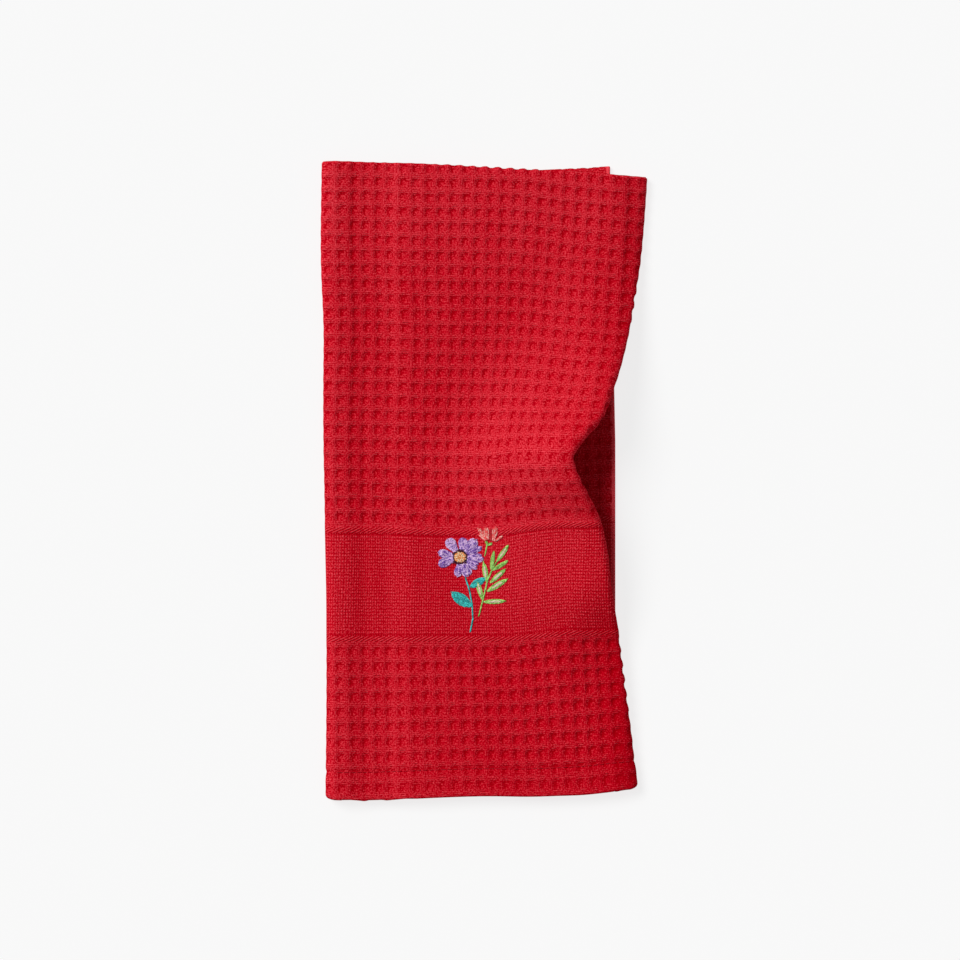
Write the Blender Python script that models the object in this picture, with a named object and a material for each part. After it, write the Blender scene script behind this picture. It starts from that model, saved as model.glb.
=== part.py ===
"""A waffle-weave kitchen towel, folded in half and then in three, lying face up with a raised wave
at its right side.

The cloth is one closed solid. It starts as a flat slab, and each corner of its grid is carried
through the folds: the half fold first, and then the two letter folds, with the right third tucked
behind the front panel and the left third folded under last.
Metres, +Z up. +X is the towel's right side, +Y its folded top edge, and it lies on the plane Z = 0.
"""
import bmesh
import bpy
import numpy as np

TOWEL = "kitchen_towel"
CLOTH = "towel_cloth"

CLOTH_THICK = 0.0016

# The stack of six plies. A turn's radius goes from its centre to the middle of the doubled cloth.
PLY_PITCH = 0.0019
LEFT_TURN = 2 * PLY_PITCH
RIGHT_TURN = 1 * PLY_PITCH
LEFT_CENTRE = 2.5 * PLY_PITCH + CLOTH_THICK / 2
PACK_HEIGHT = LEFT_CENTRE + PLY_PITCH

# The under third, whose free selvedge shows beside the wave, and the tucked third, as a share of the
# panel's width.
UNDER_WIDTH = 0.1571
UNDER_TOP_DROP = 0.0026
UNDER_TOP_SAG = 0.003
UNDER_HEM_RISE = 0.006
UNDER_EDGE_HEIGHTS = (0.200, 0.350)
UNDER_EDGE_X = (0.0744, 0.0715)
TUCKED_SHARE = 0.72

# The hem and the half fold, in plan. The half fold's line drops towards the right, and below the
# wave the right side is drawn up.
HEM_Y = -0.1785
HEM_RISE = 0.0022
HEM_RISE_FROM, HEM_RISE_TO = 0.010, 0.080
HEM_RISE_HEIGHT = 0.100
HEM_DIP = 0.0008
HEM_DIP_FROM, HEM_DIP_TO = 0.080, 0.110
HEM_CORNER_RISE = 0.0024
HEM_CORNER_FROM, HEM_CORNER_TO = 0.130, 0.165
SIDE_RISE = 0.003
SIDE_RISE_FROM, SIDE_RISE_TO = 0.093, 0.133
SIDE_RISE_FULL, SIDE_RISE_FADES, SIDE_RISE_ENDS = 0.080, 0.150, 0.195
TOP_Y = 0.1770
TOP_DROP = 0.009
TOP_DROP_POWER = 1.6
TOP_SOUGHT_ABOVE = 0.320
CORNER_RADIUS = 0.004

# The panel's cross-sections, a row for each height above the hem: the x of its left and right folds,
# the angles at which it climbs to the crest of the wave and falls beyond it, and how far from the
# right fold the climb starts and the crest lies, along the cloth.
SECTION_COLUMNS = ("height", "left", "right", "climb", "foot", "crest", "fall")
SECTIONS = np.array([
    (0.000, -0.0878, 0.0871,  1, 0.070, 0.034,  0),
    (0.045, -0.0873, 0.0820,  3, 0.080, 0.030,  2),
    (0.090, -0.0872, 0.0760,  9, 0.090, 0.022,  7),
    (0.115, -0.0873, 0.0719, 14, 0.096, 0.008,  2),
    (0.135, -0.0877, 0.0696, 16, 0.098, 0.005,  0),
    (0.155, -0.0881, 0.0648, 20, 0.099, 0.005,  0),
    (0.168, -0.0883, 0.0592, 25, 0.099, 0.004,  0),
    (0.180, -0.0885, 0.0539, 30, 0.098, 0.004,  0),
    (0.192, -0.0888, 0.0510, 32, 0.097, 0.004,  0),
    (0.201, -0.0889, 0.0564, 31, 0.098, 0.005,  0),
    (0.212, -0.0890, 0.0656, 27, 0.099, 0.007,  0),
    (0.234, -0.0890, 0.0742, 19, 0.097, 0.010,  0),
    (0.262, -0.0889, 0.0818, 12, 0.088, 0.016,  4),
    (0.300, -0.0904, 0.0883,  6, 0.074, 0.022,  4),
    (0.355, -0.0900, 0.0928,  0, 0.060, 0.024,  0)])
PINCH_HEIGHT = 0.192
CLIMB_EASE = 0.050
CREST_EASE = 0.018
WAVE_REACH = 0.130
WEAVE_GIVE = 0.75

# How finely the pack's surface is worked out, and how far.
HEIGHT_STEP, SPAN_STEP = 0.0010, 0.0005
HEIGHT_END, SPAN_END = 0.386, 0.200

# The panel sinks where nothing is tucked behind it, and droops past the under third's selvedge.
SINK_DEPTH = 0.002
SINK_FROM, SINK_TO = 0.003, 0.043
SINK_IN, SINK_OUT = 0.014, 0.016
DROOP_DEPTH = 0.0034
DROOP_FROM, DROOP_TO = 0.0735, 0.0895

# Where the grid's lines lie, as shares of each stretch of the cloth.
TURN_LINES = np.linspace(0, 1, 6)
UNDER_LINES = np.linspace(0, 1, 6)
PANEL_LINES = np.array([0, .07, .14, .21, .28, .33, .38, .43, .48, .53, .58, .63, .68, .73, .77, .81,
                        .85, .89, .925, .96, 1])
TUCKED_LINES = (1 - PANEL_LINES[:3:-1]) / TUCKED_SHARE
HEIGHT_LINES = np.array([0, .005, .012, .06, .12, .18, .24, .30, .355, .41, .46, .505, .54, .57, .60,
                         .635, .67, .71, .77, .86, 1])


def ease(t):
    """0 below t = 0, 1 above t = 1, and a smooth S between."""
    t = np.clip(t, 0, 1)
    return t * t * (3 - 2 * t)


def between(start, end, t):
    """0 at t = start, 1 at t = end, and a smooth S between."""
    return ease((t - start) / (end - start))


def section(column, height):
    """One column of the section table at any height, on a smooth curve through its rows."""
    rows = SECTIONS[:, 0]
    values = SECTIONS[:, SECTION_COLUMNS.index(column)]
    slopes = np.gradient(values, rows)
    height = np.clip(height, rows[0], rows[-1])
    k = np.clip(np.searchsorted(rows, height) - 1, 0, len(rows) - 2)
    gap = rows[k + 1] - rows[k]
    t = (height - rows[k]) / gap
    bend = slopes[k] * (1 - t) - slopes[k + 1] * t
    return values[k] + (values[k + 1] - values[k]) * ease(t) + gap * t * (1 - t) * bend


def pack_surface():
    """The middle surface of the pack, the four plies of panel and tucked third, over height above
    the hem and distance from the left fold: its points, its normals, and its width at each height.

    Each cross-section turns through the climb and the fall, and its points are the sum of its small
    steps. The upright threads keep their length, less what the weave gives, so the wave also draws
    the top edge and the hem in towards it.
    """
    heights = np.arange(0, HEIGHT_END, HEIGHT_STEP)
    spans = np.arange(0, SPAN_END, SPAN_STEP)
    fold = {name: section(name, heights)[:, None] for name in SECTION_COLUMNS}
    climb = np.radians(np.maximum(fold["climb"], 0))
    fall = np.radians(np.maximum(fold["fall"], 0))

    def slope(from_right):
        climbing = ease((fold["foot"] - from_right) / CLIMB_EASE)
        over = ease((fold["crest"] + CREST_EASE / 2 - from_right) / CREST_EASE)
        return climb * climbing - (climb + fall) * over

    to_corner = np.clip(CORNER_RADIUS - heights, 0, CORNER_RADIUS)[:, None]
    corner = CORNER_RADIUS - np.sqrt(CORNER_RADIUS ** 2 - to_corner ** 2)
    outer_face = (PLY_PITCH + CLOTH_THICK) / 2
    left = fold["left"] + corner + LEFT_TURN + outer_face
    right = fold["right"] - corner - RIGHT_TURN - outer_face
    taken_up = (1 - np.cos(slope(spans))).sum(axis=1, where=spans < WAVE_REACH, keepdims=True)
    width = right - left + taken_up * SPAN_STEP

    angle = slope(np.maximum(width - spans, 0))
    x = left + (np.cumsum(np.cos(angle), axis=1) - np.cos(angle[:, :1])) * SPAN_STEP
    z = np.cumsum(np.sin(angle), axis=1) * SPAN_STEP
    lean = np.gradient(x, heights, axis=0) ** 2 + np.gradient(z, heights, axis=0) ** 2
    y = np.cumsum(np.sqrt(1 - (1 - WEAVE_GIVE) * np.minimum(lean, 1)), axis=0) * HEIGHT_STEP
    y += HEM_Y + PINCH_HEIGHT - y[np.searchsorted(heights, PINCH_HEIGHT)]
    near_hem = between(HEM_RISE_HEIGHT, 0, heights)[:, None]
    hem_line = HEM_RISE * between(HEM_RISE_FROM, HEM_RISE_TO, spans)
    hem_line -= HEM_DIP * between(HEM_DIP_FROM, HEM_DIP_TO, spans)
    hem_line += HEM_CORNER_RISE * between(HEM_CORNER_FROM, HEM_CORNER_TO, spans)
    y += hem_line * near_hem
    below_wave = between(0, SIDE_RISE_FULL, heights) * between(SIDE_RISE_ENDS, SIDE_RISE_FADES, heights)
    y += SIDE_RISE * between(SIDE_RISE_FROM, SIDE_RISE_TO, spans) * below_wave[:, None]

    from_left = x - left + corner
    sink = ease((from_left - SINK_FROM) / SINK_IN) * ease((SINK_TO - from_left) / SINK_OUT)
    droop = between(DROOP_FROM, DROOP_TO, x)
    z += PACK_HEIGHT - SINK_DEPTH * sink - DROOP_DEPTH * droop
    points = np.stack([x, y, z], axis=-1)
    normals = np.cross(np.gradient(points, axis=1), np.gradient(points, axis=0))
    normals /= np.linalg.norm(normals, axis=-1, keepdims=True)
    return heights, spans, points, normals, width[:, 0]


HEIGHTS, SPANS, PACK_POINTS, PACK_NORMALS, PACK_WIDTHS = pack_surface()


def on_pack(table, height, span):
    """The pack's points or normals, read between the places that its table holds."""
    row = np.clip(height, 0, HEIGHTS[-2]) / HEIGHT_STEP
    column = np.clip(span, 0, SPANS[-2]) / SPAN_STEP
    i, j = row.astype(int), column.astype(int)
    a, b = (row - i)[:, None], (column - j)[:, None]
    lower = table[i, j] * (1 - b) + table[i, j + 1] * b
    upper = table[i + 1, j] * (1 - b) + table[i + 1, j + 1] * b
    return lower * (1 - a) + upper * a


def top_height(share):
    """How high above the hem the half fold lies, at a share of the panel's width, so that in plan
    it follows its own line."""
    upper = HEIGHTS > TOP_SOUGHT_ABOVE
    heights = HEIGHTS[upper]
    x, y, _ = on_pack(PACK_POINTS, heights, share * PACK_WIDTHS[upper]).T
    run = np.clip((x - SECTIONS[-1, 1]) / (SECTIONS[-1, 2] - SECTIONS[-1, 1]), 0, 1)
    return np.interp(0, y - TOP_Y + TOP_DROP * run ** TOP_DROP_POWER, heights)


def half_fold(hem, top, side):
    """Down one column of the grid: up the outer ply, round the half fold and down the inner ply, as
    heights above the panel's hem and distances from the doubled cloth's middle towards its outer
    face."""
    radius = (PLY_PITCH + side * CLOTH_THICK) / 2
    turn = np.pi * (0.5 - TURN_LINES[1:-1])
    rise = hem + (top - hem) * HEIGHT_LINES
    height = np.concatenate([rise, top + radius * np.cos(turn), rise[::-1]])
    offset = np.concatenate([0 * rise + radius, radius * np.sin(turn), 0 * rise - radius])
    return height, offset


def letter_fold(stretch, share, side):
    """One column of the grid as points, at a share of one stretch of the cloth's width."""
    from_left_turn = 1 - share if stretch == "under" else 0
    top_share = {"panel": share, "right turn": 1, "tucked": 1 - TUCKED_SHARE * share}.get(stretch, 0)
    hem = UNDER_HEM_RISE * from_left_turn
    sag = 4 * UNDER_TOP_SAG * from_left_turn * (1 - from_left_turn)
    top = top_height(top_share) - UNDER_TOP_DROP * from_left_turn - sag
    height, offset = half_fold(hem, top, side)
    width = np.interp(height, HEIGHTS, PACK_WIDTHS)

    if stretch in ("under", "left turn"):
        angle = np.pi * (1 - share) if stretch == "left turn" else np.pi
        radius = LEFT_TURN + offset
        point = on_pack(PACK_POINTS, height, 0 * height)
        to_edge = np.interp(height, UNDER_EDGE_HEIGHTS, UNDER_EDGE_X) - point[:, 0]
        point[:, 0] += to_edge * from_left_turn - radius * np.sin(angle)
        point[:, 2] = LEFT_CENTRE + radius * np.cos(angle)
        return point

    radius = (RIGHT_TURN + offset)[:, None]
    if stretch == "panel":
        span = share * width
        return on_pack(PACK_POINTS, height, span) + radius * on_pack(PACK_NORMALS, height, span)
    if stretch == "right turn":
        edge = on_pack(PACK_POINTS, height, width)
        ahead = edge - on_pack(PACK_POINTS, height, width - SPAN_STEP)
        ahead /= np.linalg.norm(ahead, axis=1, keepdims=True)
        normal = on_pack(PACK_NORMALS, height, width)
        return edge + radius * (normal * np.cos(np.pi * share) + ahead * np.sin(np.pi * share))
    span = width * (1 - TUCKED_SHARE * share)
    return on_pack(PACK_POINTS, height, span) - radius * on_pack(PACK_NORMALS, height, span)


def cloth_points():
    """Both faces of the whole cloth: points by face, by column across it and by place down it, with
    the origin under the middle of the whole."""
    columns = [("under", share) for share in UNDER_LINES]
    columns += [("left turn", share) for share in TURN_LINES[1:-1]]
    columns += [("panel", share) for share in PANEL_LINES]
    columns += [("right turn", share) for share in TURN_LINES[1:-1]]
    columns += [("tucked", share) for share in TUCKED_LINES]
    points = np.array([[letter_fold(*column, side) for column in columns] for side in (-1, 1)])
    middle = (points.min(axis=(0, 1, 2)) + points.max(axis=(0, 1, 2))) / 2
    return points - middle * (1, 1, 0)


def split_quads(slab, turned_at):
    """Each quad of the flat slab's two faces is cut in two. The cut leans the other way on a ply that
    lies turned over, so that plies which end up against each other have their facets alike."""
    for quad in slab.faces[:]:
        if abs(quad.normal.z) < 0.5:
            continue
        middle = quad.calc_center_median()
        turned = (middle.x > turned_at) != (middle.y > 0)
        ends = [corner for corner in quad.verts
                if ((corner.co.x > middle.x) == (corner.co.y > middle.y)) != turned]
        bmesh.utils.face_split(quad, *ends)


def folded_slab(points):
    """A flat slab with one grid corner for each point, folded by moving each corner to its point."""
    _, across, along, _ = points.shape
    slab = bmesh.new()
    bmesh.ops.create_grid(slab, x_segments=across - 1, y_segments=along - 1, size=0.5)
    bmesh.ops.solidify(slab, geom=slab.faces[:], thickness=1.0)
    split_quads(slab, 0.5 - len(TUCKED_LINES) / (across - 1))
    middle = sum(corner.co.z for corner in slab.verts) / len(slab.verts)
    for corner in slab.verts:
        column = round((corner.co.x + 0.5) * (across - 1))
        place = round((corner.co.y + 0.5) * (along - 1))
        corner.co = points[int(corner.co.z > middle), column, place]
    bmesh.ops.recalc_face_normals(slab, faces=slab.faces[:])
    return slab


def cotton():
    """Deep red cotton, matt."""
    material = bpy.data.materials.new("red_waffle_cotton")
    material.use_nodes = True
    shader = material.node_tree.nodes["Principled BSDF"]
    shader.inputs["Base Color"].default_value = (0.50, 0.010, 0.022, 1.0)
    shader.inputs["Roughness"].default_value = 0.9
    shader.inputs["Metallic"].default_value = 0.0
    return material


def build():
    for old in list(bpy.data.objects):
        bpy.data.objects.remove(old)
    collection = bpy.data.collections.new(TOWEL)
    bpy.context.scene.collection.children.link(collection)
    slab = folded_slab(cloth_points())
    mesh = bpy.data.meshes.new(CLOTH)
    slab.to_mesh(mesh)
    slab.free()
    mesh.materials.append(cotton())
    collection.objects.link(bpy.data.objects.new(CLOTH, mesh))


build()
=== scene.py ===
"""The looks of a waffle-weave kitchen towel, folded in half and then in three, with a raised wave at
its right side and a small embroidered posy on its plain band.

Metres, +Z up. +X is the towel's right side and +Y its folded top edge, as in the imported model.
"""

import bmesh
import bpy
import numpy as np
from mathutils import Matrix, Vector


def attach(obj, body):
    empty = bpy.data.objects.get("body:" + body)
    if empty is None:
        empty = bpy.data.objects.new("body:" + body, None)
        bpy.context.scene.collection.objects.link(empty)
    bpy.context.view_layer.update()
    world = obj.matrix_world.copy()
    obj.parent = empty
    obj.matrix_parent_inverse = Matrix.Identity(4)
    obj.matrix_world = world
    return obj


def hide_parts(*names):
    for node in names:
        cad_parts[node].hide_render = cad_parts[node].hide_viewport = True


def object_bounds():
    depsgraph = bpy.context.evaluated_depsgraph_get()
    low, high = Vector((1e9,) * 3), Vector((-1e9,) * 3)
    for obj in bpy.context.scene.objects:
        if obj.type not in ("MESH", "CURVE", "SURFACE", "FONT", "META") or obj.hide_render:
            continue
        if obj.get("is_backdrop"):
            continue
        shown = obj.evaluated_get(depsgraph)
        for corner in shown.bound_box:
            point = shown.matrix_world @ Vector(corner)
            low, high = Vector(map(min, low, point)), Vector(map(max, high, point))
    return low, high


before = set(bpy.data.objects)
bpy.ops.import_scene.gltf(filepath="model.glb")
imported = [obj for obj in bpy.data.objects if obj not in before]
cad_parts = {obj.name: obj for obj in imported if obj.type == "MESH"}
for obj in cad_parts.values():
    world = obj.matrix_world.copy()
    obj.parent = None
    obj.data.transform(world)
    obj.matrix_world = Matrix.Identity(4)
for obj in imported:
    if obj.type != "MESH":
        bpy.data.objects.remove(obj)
cad_low, cad_high = (np.array(corner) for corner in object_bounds())


# ---- The folds ----
# The towel is one length of cotton. It is folded in half with its outer face out, and the doubled
# cloth is folded in three: the right third is tucked behind the front panel, and the left third goes
# under last. A pinch at the right side has raised the panel and the tucked third into a wave.

CLOTH_THICK = 0.0016
PLY_PITCH = 0.0019
HALF_TURN = PLY_PITCH / 2
LEFT_TURN = 2 * PLY_PITCH
RIGHT_TURN = 1 * PLY_PITCH
LEFT_CENTRE = 2.5 * PLY_PITCH + CLOTH_THICK / 2
PACK_HEIGHT = LEFT_CENTRE + PLY_PITCH

# The under third's width, how its top and hem are set against the panel's, and the x of its selvedge
# at two heights; and the tucked third's width, as a share of the panel's.
UNDER_WIDTH = 0.1571
UNDER_TOP_DROP = 0.0026
UNDER_TOP_SAG = 0.003
UNDER_HEM_RISE = 0.006
UNDER_EDGE_HEIGHTS = (0.200, 0.350)
UNDER_EDGE_X = (0.0744, 0.0715)
TUCKED_SHARE = 0.72

# Where the hem lies, and how far the cloth near it and below the wave is drawn up the towel, in rows
# that hold an amount and where it is eased in, across the panel and up it.
HEM_Y = -0.1785
DRAWN_UP = [(0.0022, 0.010, 0.080, 0.100, 0), (-0.0008, 0.080, 0.110, 0.100, 0),
             (0.0024, 0.130, 0.165, 0.100, 0), (0.0030, 0.093, 0.133, 0, 0.080),
             (-0.0030, 0.093, 0.133, 0.150, 0.195)]
TOP_Y, TOP_DROP, TOP_DROP_POWER = 0.1770, 0.009, 1.6
TOP_SOUGHT_ABOVE = 0.320
CORNER_RADIUS = 0.004

# The panel's cross-sections, a row for each height above the hem: the x of its left and right folds,
# the angle in degrees at which it climbs to the crest of the wave, how far from the right fold the
# climb starts and the crest lies, along the cloth, and the angle at which it falls beyond the crest.
SECTION_COLUMNS = ("height", "left", "right", "climb", "foot", "crest", "fall")
SECTIONS = np.array([
    (0.000, -0.0878, 0.0871,  1, 0.070, 0.034,  0),
    (0.045, -0.0873, 0.0820,  3, 0.080, 0.030,  2),
    (0.090, -0.0872, 0.0760,  9, 0.090, 0.022,  7),
    (0.115, -0.0873, 0.0719, 14, 0.096, 0.008,  2),
    (0.135, -0.0877, 0.0696, 16, 0.098, 0.005,  0),
    (0.155, -0.0881, 0.0648, 20, 0.099, 0.005,  0),
    (0.168, -0.0883, 0.0592, 25, 0.099, 0.004,  0),
    (0.180, -0.0885, 0.0539, 30, 0.098, 0.004,  0),
    (0.192, -0.0888, 0.0510, 32, 0.097, 0.004,  0),
    (0.201, -0.0889, 0.0564, 31, 0.098, 0.005,  0),
    (0.212, -0.0890, 0.0656, 27, 0.099, 0.007,  0),
    (0.234, -0.0890, 0.0742, 19, 0.097, 0.010,  0),
    (0.262, -0.0889, 0.0818, 12, 0.088, 0.016,  4),
    (0.300, -0.0904, 0.0883,  6, 0.074, 0.022,  4),
    (0.355, -0.0900, 0.0928,  0, 0.060, 0.024,  0)])
# Where the pinch draws it in most, over what lengths the climb and the crest are eased in, how far
# from the right fold the wave takes up cloth, and what share of their pull the upright threads give.
PINCH_HEIGHT = 0.192
CLIMB_EASE = 0.050
CREST_EASE = 0.018
WAVE_REACH = 0.130
WEAVE_GIVE = 0.75

# The panel sinks where nothing is tucked behind it, and droops past the under third's selvedge.
SINK_DEPTH, SINK_LEFT, SINK_RIGHT = 0.002, (0.003, 0.017), (0.043, 0.027)
DROOP_DEPTH, DROOP_ACROSS = 0.0034, (0.0735, 0.0895)

# How finely the panel's surface is worked out, and how far.
HEIGHT_STEP, SPAN_STEP = 0.0010, 0.0005
HEIGHT_END, SPAN_END = 0.386, 0.200


def ease(t):
    """0 below t = 0, 1 above t = 1, and between them 3 t squared less 2 t cubed."""
    t = np.clip(t, 0, 1)
    return t * t * (3 - 2 * t)


def between(start, end, t):
    """0 at t = start, 1 at t = end, and a smooth S between."""
    return ease((t - start) / (end - start))


def eased_in(rows, across, along):
    """The sum of rows of amounts, each times a smooth step across the cloth and one along it."""
    return sum(amount * between(left, right, across) * between(low, high, along)
               for amount, left, right, low, high in rows)


def section(column, height):
    """One column of the section table at any height: a cubic through each pair of rows, with the
    slope at a row that its neighbours give."""
    rows = SECTIONS[:, 0]
    values = SECTIONS[:, SECTION_COLUMNS.index(column)]
    slopes = np.gradient(values, rows)
    height = np.clip(height, rows[0], rows[-1])
    k = np.clip(np.searchsorted(rows, height) - 1, 0, len(rows) - 2)
    gap = rows[k + 1] - rows[k]
    t = (height - rows[k]) / gap
    bend = slopes[k] * (1 - t) - slopes[k + 1] * t
    return values[k] + (values[k + 1] - values[k]) * ease(t) + gap * t * (1 - t) * bend


def pack_surface():
    """The middle surface of the panel and tucked third, over height above the hem and distance from
    the left fold. The slope at each place is the climb, eased in at the foot, less the climb and fall,
    eased in over the crest; x and z are the sums of its cosine and sine. The upright threads keep
    their length, less what the weave gives, so y is the sum of the root of 1 less a share of the
    squares of x's and z's own slopes up the panel."""
    heights = np.arange(0, HEIGHT_END, HEIGHT_STEP)
    spans = np.arange(0, SPAN_END, SPAN_STEP)
    fold = {name: section(name, heights)[:, None] for name in SECTION_COLUMNS}
    climb = np.radians(np.maximum(fold["climb"], 0))
    fall = np.radians(np.maximum(fold["fall"], 0))

    def slope(from_right):
        climbing = ease((fold["foot"] - from_right) / CLIMB_EASE)
        over = ease((fold["crest"] + CREST_EASE / 2 - from_right) / CREST_EASE)
        return climb * climbing - (climb + fall) * over

    to_corner = np.clip(CORNER_RADIUS - heights, 0, CORNER_RADIUS)[:, None]
    corner = CORNER_RADIUS - np.sqrt(CORNER_RADIUS ** 2 - to_corner ** 2)
    outer_face = (PLY_PITCH + CLOTH_THICK) / 2
    left = fold["left"] + corner + LEFT_TURN + outer_face
    right = fold["right"] - corner - RIGHT_TURN - outer_face
    taken_up = (1 - np.cos(slope(spans))).sum(axis=1, where=spans < WAVE_REACH, keepdims=True)
    width = right - left + taken_up * SPAN_STEP

    angle = slope(np.maximum(width - spans, 0))
    x = left + (np.cumsum(np.cos(angle), axis=1) - np.cos(angle[:, :1])) * SPAN_STEP
    z = np.cumsum(np.sin(angle), axis=1) * SPAN_STEP
    lean = np.gradient(x, heights, axis=0) ** 2 + np.gradient(z, heights, axis=0) ** 2
    y = np.cumsum(np.sqrt(1 - (1 - WEAVE_GIVE) * np.minimum(lean, 1)), axis=0) * HEIGHT_STEP
    y += HEM_Y + PINCH_HEIGHT - y[np.searchsorted(heights, PINCH_HEIGHT)]
    y += eased_in(DRAWN_UP, spans, heights[:, None])

    from_left = x - left + corner
    sink = SINK_DEPTH * between(*SINK_LEFT, from_left) * between(*SINK_RIGHT, from_left)
    z += PACK_HEIGHT - sink - DROOP_DEPTH * between(*DROOP_ACROSS, x)
    points = np.stack([x, y, z], axis=-1)
    normals = np.cross(np.gradient(points, axis=1), np.gradient(points, axis=0))
    normals /= np.linalg.norm(normals, axis=-1, keepdims=True)
    return heights, spans, points, normals, width[:, 0]


HEIGHTS, SPANS, PACK_POINTS, PACK_NORMALS, PACK_WIDTHS = pack_surface()


def on_pack(table, height, span):
    """The panel's points or normals, read between the places that its table holds."""
    height, span = np.broadcast_arrays(height, span)
    row = np.clip(height, 0, HEIGHTS[-2]) / HEIGHT_STEP
    column = np.clip(span, 0, SPANS[-2]) / SPAN_STEP
    i, j = row.astype(int), column.astype(int)
    a, b = (row - i)[..., None], (column - j)[..., None]
    lower = table[i, j] * (1 - b) + table[i, j + 1] * b
    upper = table[i + 1, j] * (1 - b) + table[i + 1, j + 1] * b
    return lower * (1 - a) + upper * a


def top_heights(shares):
    """How high above the hem the half fold lies, at shares of the panel's width, so that in plan it
    follows its own line."""
    upper = HEIGHTS > TOP_SOUGHT_ABOVE
    heights = HEIGHTS[upper][:, None]
    x, y, _ = np.moveaxis(on_pack(PACK_POINTS, heights, shares * PACK_WIDTHS[upper][:, None]), -1, 0)
    run = np.clip((x - SECTIONS[-1, 1]) / (SECTIONS[-1, 2] - SECTIONS[-1, 1]), 0, 1)
    above = y - TOP_Y + TOP_DROP * run ** TOP_DROP_POWER
    return np.array([np.interp(0, column, heights[:, 0]) for column in above.T])


TOP_SHARES = np.linspace(0, 1, 41)
TOP_HEIGHTS = top_heights(TOP_SHARES)
TOP_WIDTH = np.interp(TOP_HEIGHTS[0], HEIGHTS, PACK_WIDTHS)


def beyond_left(across):
    """How far the cloth has turned round the left fold, and how far past it the under third runs."""
    turned = np.clip(-across / (LEFT_TURN + HALF_TURN), 0, np.pi)
    return turned, np.maximum(-across - np.pi * (LEFT_TURN + HALF_TURN), 0)


def beyond_right(across, width):
    """How far the cloth has turned round the right fold, and how far past it the tucked third runs."""
    turned = np.clip((across - width) / (RIGHT_TURN + HALF_TURN), 0, np.pi)
    return turned, np.maximum(across - width - np.pi * (RIGHT_TURN + HALF_TURN), 0)


def half_fold(across, along, lift):
    """The first fold. Up the cloth to its top height, round a half circle whose radius is half a ply's
    pitch and the lift, and down behind: the height above the hem and the distance out of the doubled
    cloth's middle."""
    under = beyond_left(across)[1] / UNDER_WIDTH
    tucked = beyond_right(across, TOP_WIDTH)[1]
    share = (np.clip(across, 0, TOP_WIDTH) - tucked) / TOP_WIDTH
    hem = UNDER_HEM_RISE * under
    top = np.interp(share, TOP_SHARES, TOP_HEIGHTS)
    top -= UNDER_TOP_DROP * under + 4 * UNDER_TOP_SAG * under * (1 - under)
    length = top - hem
    turned = np.clip((along - length) / HALF_TURN, 0, np.pi)
    down = np.maximum(along - length - np.pi * HALF_TURN, 0)
    radius = HALF_TURN + lift
    height = np.minimum(hem + along, top) + radius * np.sin(turned) - down
    return height, radius * np.cos(turned), length


def folded(across, along, lift):
    """Where a place on the cloth lies once it is folded. across and along are measured on the outer
    ply, from the left fold and from the panel's hem, and lift goes out of the cloth's middle.

    After the half fold, the panel is the pack's surface plus its normal times the right turn's radius;
    the right fold swings that radius round the pack's edge, and the tucked third is the surface less
    it. The left fold swings round its own centre, and the under third lies flat below it."""
    height, offset, _ = half_fold(across, along, lift)
    width = np.interp(height, HEIGHTS, PACK_WIDTHS)
    turned, tucked = beyond_right(across, width)
    span = np.clip(across, 0, width) - tucked
    at = on_pack(PACK_POINTS, height, span)
    normal = on_pack(PACK_NORMALS, height, span)
    ahead = on_pack(PACK_POINTS, height, width) - on_pack(PACK_POINTS, height, width - SPAN_STEP)
    ahead /= np.linalg.norm(ahead, axis=-1, keepdims=True)
    swung = normal * np.cos(turned)[..., None] + ahead * np.sin(turned)[..., None]
    right_of_fold = at + (RIGHT_TURN + offset)[..., None] * swung

    turned, run = beyond_left(across)
    radius = LEFT_TURN + offset
    left_of_fold = on_pack(PACK_POINTS, height, 0)
    to_edge = np.interp(height, UNDER_EDGE_HEIGHTS, UNDER_EDGE_X) - left_of_fold[..., 0]
    left_of_fold[..., 0] += to_edge * run / UNDER_WIDTH - radius * np.sin(turned)
    left_of_fold[..., 2] = LEFT_CENTRE + radius * np.cos(turned)
    return np.where((across < 0)[..., None], left_of_fold, right_of_fold)


def panel_width(across, along):
    """How wide the panel is at the height of a place on the cloth."""
    return np.interp(half_fold(across, along, 0)[0], HEIGHTS, PACK_WIDTHS)


def own_across(across, along):
    """The distance across the cloth itself. The inner ply takes a shorter way round both folds, so it
    slips by the difference of the two plies' radii, times the angle turned."""
    slip = HALF_TURN - half_fold(across, along, 0)[1]
    turned_right = beyond_right(across, panel_width(across, along))[0]
    return across + slip * (beyond_left(across)[0] - turned_right)


# ---- The towel's cloth ----
# Cotton in a waffle weave: long floats stand up as a net of ridges round square pits. Near each end a
# plain band lies between two raised twill lines. The sides are plain selvedges, and the ends are
# turned over in a narrow hem that a line of stitching presses flat.

CELL_WIDTH = 0.00698
CELL_HEIGHT = 0.00815
LOW_CELL_HEIGHT = 0.0085
FIRST_PIT_ACROSS = 0.00265
FIRST_PIT_ALONG = 0.1583
LOW_PIT_ALONG = 0.0064
PIT_DEPTH = 0.00075
PIT_EDGE, PIT_WALL = 0.42, 0.34
PIT_SQUARENESS = 4
PIT_LEAN = 0.13
RIDGE_CROWN = 0.00016
CELL_SPREAD = 0.09

LOW_TWILL, HIGH_TWILL = 0.0902, 0.1516
TWILL_WIDTH = 0.0031
TWILL_RISE = 0.00028
BAND_EASE = 0.0022
SELVEDGE = 0.0055
HEM_DEPTH = 0.0160
HEM_THICKER = 0.00030
STITCH_GROOVE, STITCH_GROOVE_WIDTH = 0.00045, 0.0012
EDGE_ROUNDING, EDGE_FLAT = 0.0008, 0.25

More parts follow.
